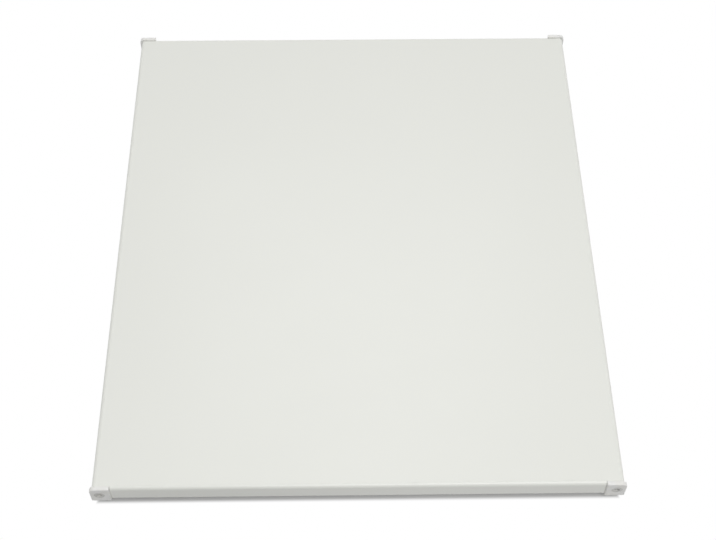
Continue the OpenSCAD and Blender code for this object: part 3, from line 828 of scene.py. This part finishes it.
def mitred_frame_tree():
    """Sweeps a section along four sides that meet in welded mitres, and lets the lips wave."""
    net, given = add_tree("Mitred frame", [
        ("Width", "Float", 0.595), ("Height", "Float", 0.69), ("Rows", "Int", 64),
        ("Wave size", "Float", 0.09), ("Wave depth", "Float", 0.0007), ("Seed", "Float", 3.0),
        ("Material", "Material", None)])
    section = net.node("GeometryNodeMeshToCurve", {}, {"Mesh": given["Geometry"]})
    section, drawn = stored(net, section, "section", "GeometryNodeInputPosition", "FLOAT_VECTOR")
    path = net.node("GeometryNodeCurvePrimitiveLine", {}, {"End": (0.0, 1.0, 0.0)})
    path = net.node("GeometryNodeResampleCurve", {}, {"Curve": path, "Count": given["Rows"]})
    path, run = stored(net, path, "run", "GeometryNodeSplineParameter", "FLOAT")
    swept = net.node("GeometryNodeCurveToMesh", {}, {"Curve": path, "Profile Curve": section})
    inset, _, z = net.split(drawn)
    sides = []
    for across, along, turns in ((given["Width"], given["Height"], (0, 180)),
                                 (given["Height"], given["Width"], (90, 270))):
        place = net.join(inset - across * 0.5, (run - 0.5) * (along - inset * 2), z)
        side = net.node("GeometryNodeSetPosition", {}, {"Geometry": swept, "Position": place})
        for turn in turns:
            rotation = Euler((0, 0, math.radians(turn)))
            sides.append(net.node("GeometryNodeTransform", {},
                                  {"Geometry": side, "Rotation": rotation}))
    joined = net.node("GeometryNodeJoinGeometry", {}, {"Geometry": sides[::-1]})
    merged = net.node("GeometryNodeMergeByDistance", {},
                      {"Geometry": joined, "Distance": 0.004 * MM})
    whole = net.node("GeometryNodeFlipFaces", {}, {"Mesh": merged})
    x, y, _ = net.split(net.node("GeometryNodeInputPosition"))
    pattern = net.node("ShaderNodeTexNoise", {"noise_dimensions": "4D"},
                       {"Vector": net.join(x, y, 0.0), "W": given["Seed"],
                        "Scale": 1 / given["Wave size"], "Detail": 1.0})
    pocket_middle = 19.1 * MM
    off_pocket = net.rise(abs(inset - pocket_middle), low=7 * MM, high=11.5 * MM)
    below_base = 1 - net.rise(z, low=10.5 * MM, high=12.2 * MM)
    wave = (pattern - 0.5) * off_pocket * below_base * given["Wave depth"]
    soft = net.node("GeometryNodeSetPosition", {},
                    {"Geometry": whole, "Offset": net.join(0.0, 0.0, wave)})
    return close_tree(net, soft, given["Material"], degrees=40)


# The stage


def add_floor(stage):
    """A white floor: bright white to the camera, with the door's shadow close round it, and
    clear from below, so that the underside can be seen. It sends up less light before the near
    left corner, as in the photograph, and more light under the door."""
    radius, drop, sides = 4.0, 0.2 * MM, 96
    rim = [math.tau * k / sides for k in range(sides)]
    mesh = bpy.data.meshes.new("floor")
    mesh.from_pydata([(radius * math.cos(a), radius * math.sin(a), -drop) for a in rim],
                     [], [list(range(sides))])
    floor = add_object("floor", mesh)
    material = bpy.data.materials.new("white_floor")
    net = start_nodes(material)
    x, y, _ = net.split(net.place())
    outside = net.length(net.larger(abs(x) - HALF_W, 0.0), net.larger(abs(y) - HALF_H, 0.0))
    inside = net.larger(edge_distance(net, x, y), 0.0)
    clear = net.rise(outside - inside, low=-stage.shadow_start, high=stage.shadow_reach)
    shaded = net.node("ShaderNodeBsdfDiffuse", {}, {"Color": opaque([stage.shadow_tone] * 3)})
    from_below = net.node("ShaderNodeNewGeometry", output="Backfacing")
    shown = net.either(clear, shaded, net.emission(1.0))
    shown = net.either(from_below, shown, net.node("ShaderNodeBsdfTransparent"))
    ahead = net.rise(-y, low=HALF_H - 20 * MM, high=HALF_H)
    leftward = net.rise(-x, low=-150 * MM, high=320 * MM)
    dimmed = ahead * leftward * net.rise(x, low=-325 * MM, high=-275 * MM)
    bounce = net.either(dimmed, net.emission(stage.bounce),
                        net.emission(stage.bounce * (1 - stage.dimming)))
    covered = net.rise(inside, low=5 * MM, high=30 * MM)
    bounce = net.either(covered, bounce, net.emission(stage.under_light))
    surface = net.either(net.looked_at(), bounce, shown)
    net.node("ShaderNodeOutputMaterial", {}, {"Surface": surface})
    mesh.materials.append(material)


def add_sky(stage):
    """Even light from all round, which the camera sees as plain white."""
    world = bpy.data.worlds.new("white_room")
    bpy.context.scene.world = world
    net = start_nodes(world)
    _, y, z = net.split(net.node("ShaderNodeTexCoord", output="Generated"))
    high = net.rise(z, low=0.15, high=0.45)
    ahead = net.rise(-y, low=0.0, high=0.7)
    low_light = stage.sides + ahead * (stage.front - stage.sides)
    light = low_light * (1 - high) + high * stage.sky
    seen = net.looked_at()
    strength = seen + (1 - seen) * light
    glow = net.node("ShaderNodeBackground", {}, {"Color": WHITE, "Strength": strength})
    net.node("ShaderNodeOutputWorld", {}, {"Surface": glow})


def add_light(name, place, size, power):
    """A square soft light that faces the middle of the door."""
    light = bpy.data.lights.new(name, "AREA")
    light.shape = "SQUARE"
    light.size = size
    light.energy = power
    lamp = add_object(name, light)
    lamp.location = place
    lamp.rotation_euler = (-Vector(place)).to_track_quat("-Z", "Y").to_euler()
    lamp.visible_camera = False


def add_camera(stage):
    data = bpy.data.cameras.new("camera")
    data.sensor_fit = "HORIZONTAL"
    data.sensor_width = 36
    data.lens = stage.lens
    camera = add_object("camera", data)
    camera.location = stage.camera_place
    camera.rotation_euler = stage.camera_turn
    bpy.context.scene.camera = camera


# Operators


class DoorOperator:
    """What the operators share."""

    bl_options = {"REGISTER", "UNDO"}

    @property
    def settings(self):
        return bpy.context.scene.freezer_door


class FREEZER_OT_painted_skin(DoorOperator, Operator):
    """Paints the folded steel skin"""

    bl_idname = "freezer.painted_skin"
    bl_label = "Painted Skin"

    def execute(self, context):
        dress(["outer_skin"], painted_steel(self.settings.paint))
        return {"FINISHED"}


class FREEZER_OT_corner_caps(DoorOperator, Operator):
    """Adds the four moulded corner caps"""

    bl_idname = "freezer.corner_caps"
    bl_label = "Corner Caps"

    def execute(self, context):
        caps = self.settings.caps
        material = grained_plastic("cap_plastic_finish", caps.colour, caps)
        for corner in CORNERS:
            softened_copy(f"corner_cap_{corner}", f"moulded_cap_{corner}", material,
                          caps.edge_radius)
        return {"FINISHED"}


class FREEZER_OT_hinge_bushes(DoorOperator, Operator):
    """Adds the four nylon hinge bushes"""

    bl_idname = "freezer.hinge_bushes"
    bl_label = "Hinge Bushes"

    def execute(self, context):
        caps = self.settings.caps
        material = grained_plastic("bush_nylon_finish", caps.bush_colour, caps)
        for corner in CORNERS:
            softened_copy(f"hinge_bush_{corner}", f"turned_bush_{corner}", material,
                          caps.edge_radius)
        return {"FINISHED"}


class FREEZER_OT_hole_plugs(DoorOperator, Operator):
    """Adds the plugs in the unused handle holes"""

    bl_idname = "freezer.hole_plugs"
    bl_label = "Hole Plugs"

    def execute(self, context):
        caps = self.settings.caps
        material = grained_plastic("plug_plastic_finish", caps.colour, caps)
        softened_copy("handle_hole_plugs", "round_hole_plugs", material,
                      caps.plug_radius)
        return {"FINISHED"}


class FREEZER_OT_formed_liner(DoorOperator, Operator):
    """Adds the vacuum-formed liner with its dyke and pressed ribs"""

    bl_idname = "freezer.formed_liner"
    bl_label = "Formed Liner"

    def execute(self, context):
        liner = self.settings.liner
        piece = add_object("formed_liner", liner_sheet(liner))
        apply_tree(piece, pressed_ribs_tree(), {
            "Ribs": liner.rib_count,
            "Pitch": rib_pitch(liner),
            "Rib half length": rib_half_length(liner),
            "Rib width": liner.rib_width,
            "Rib height": liner.rib_height,
            "Slope": liner.rib_slope,
            "Material": formed_plastic(liner),
        })
        declare(piece, "inner_liner")
        return {"FINISHED"}


class FREEZER_OT_door_seal(DoorOperator, Operator):
    """Adds the soft magnetic seal with its welded corners"""

    bl_idname = "freezer.door_seal"
    bl_label = "Door Seal"

    def execute(self, context):
        seal = self.settings.seal
        piece = add_object("welded_door_seal", seal_section_mesh())
        apply_tree(piece, mitred_frame_tree(), {
            "Width": 2 * HALF_W,
            "Height": 2 * HALF_H,
            "Rows": seal.rows,
            "Wave size": seal.wave_size,
            "Wave depth": seal.wave_depth,
            "Material": soft_vinyl(seal),
        })
        declare(piece, "door_gasket")
        return {"FINISHED"}


class FREEZER_OT_inner_parts(DoorOperator, Operator):
    """Finishes the foam, the magnet strips and the steel plates inside the door"""

    bl_idname = "freezer.inner_parts"
    bl_label = "Inner Parts"

    def execute(self, context):
        strips = [f"magnet_strip_{side}" for side in ("left", "right", "bottom", "top")]
        plates = [f"hinge_plate_{corner}" for corner in CORNERS]
        plates += ["handle_plate_left", "handle_plate_right"]
        dress(["foam_core"], make_material("rigid_foam_finish", rigid_foam))
        dress(strips, make_material("bonded_ferrite_finish", bonded_ferrite))
        dress(plates, make_material("zinc_plate_finish", zinc_plate))
        return {"FINISHED"}


class FREEZER_OT_stage(DoorOperator, Operator):
    """Adds the floor, the lights and the camera"""

    bl_idname = "freezer.stage"
    bl_label = "Stage"

    def execute(self, context):
        stage = self.settings.stage
        add_floor(stage)
        add_sky(stage)
        add_light("key_light", stage.key_place, stage.key_size, stage.key_power)
        add_light("top_light", stage.top_place, stage.top_size, stage.top_power)
        add_camera(stage)
        context.scene.view_settings.view_transform = "Standard"
        return {"FINISHED"}


OPERATORS = [
    FREEZER_OT_painted_skin,
    FREEZER_OT_corner_caps,
    FREEZER_OT_hinge_bushes,
    FREEZER_OT_hole_plugs,
    FREEZER_OT_formed_liner,
    FREEZER_OT_door_seal,
    FREEZER_OT_inner_parts,
    FREEZER_OT_stage,
]


class FREEZER_PT_sidebar(Panel):
    """Lists the door's pieces and their settings"""

    bl_idname = "FREEZER_PT_sidebar"
    bl_label = "Freezer Door"
    bl_space_type = "VIEW_3D"
    bl_region_type = "UI"
    bl_category = "Freezer Door"

    def draw(self, context):
        for operator in OPERATORS:
            self.layout.operator(operator.bl_idname)
        for group in DoorSettings.__annotations__:
            settings = getattr(context.scene.freezer_door, group)
            box = self.layout.box()
            box.label(text=group.capitalize())
            for name in settings.__annotations__:
                box.prop(settings, name)


CLASSES = [PaintSettings, CapSettings, LinerSettings, SealSettings, StageSettings, DoorSettings,
           *OPERATORS, FREEZER_PT_sidebar]


def register():
    for kind in CLASSES:
        bpy.utils.register_class(kind)
    bpy.types.Scene.freezer_door = PointerProperty(type=DoorSettings)


def unregister():
    del bpy.types.Scene.freezer_door
    for kind in reversed(CLASSES):
        bpy.utils.unregister_class(kind)


def main():
    register()
    for operator in OPERATORS:
        group, name = operator.bl_idname.split(".")
        getattr(getattr(bpy.ops, group), name)()


if __name__ == "__main__":
    main()
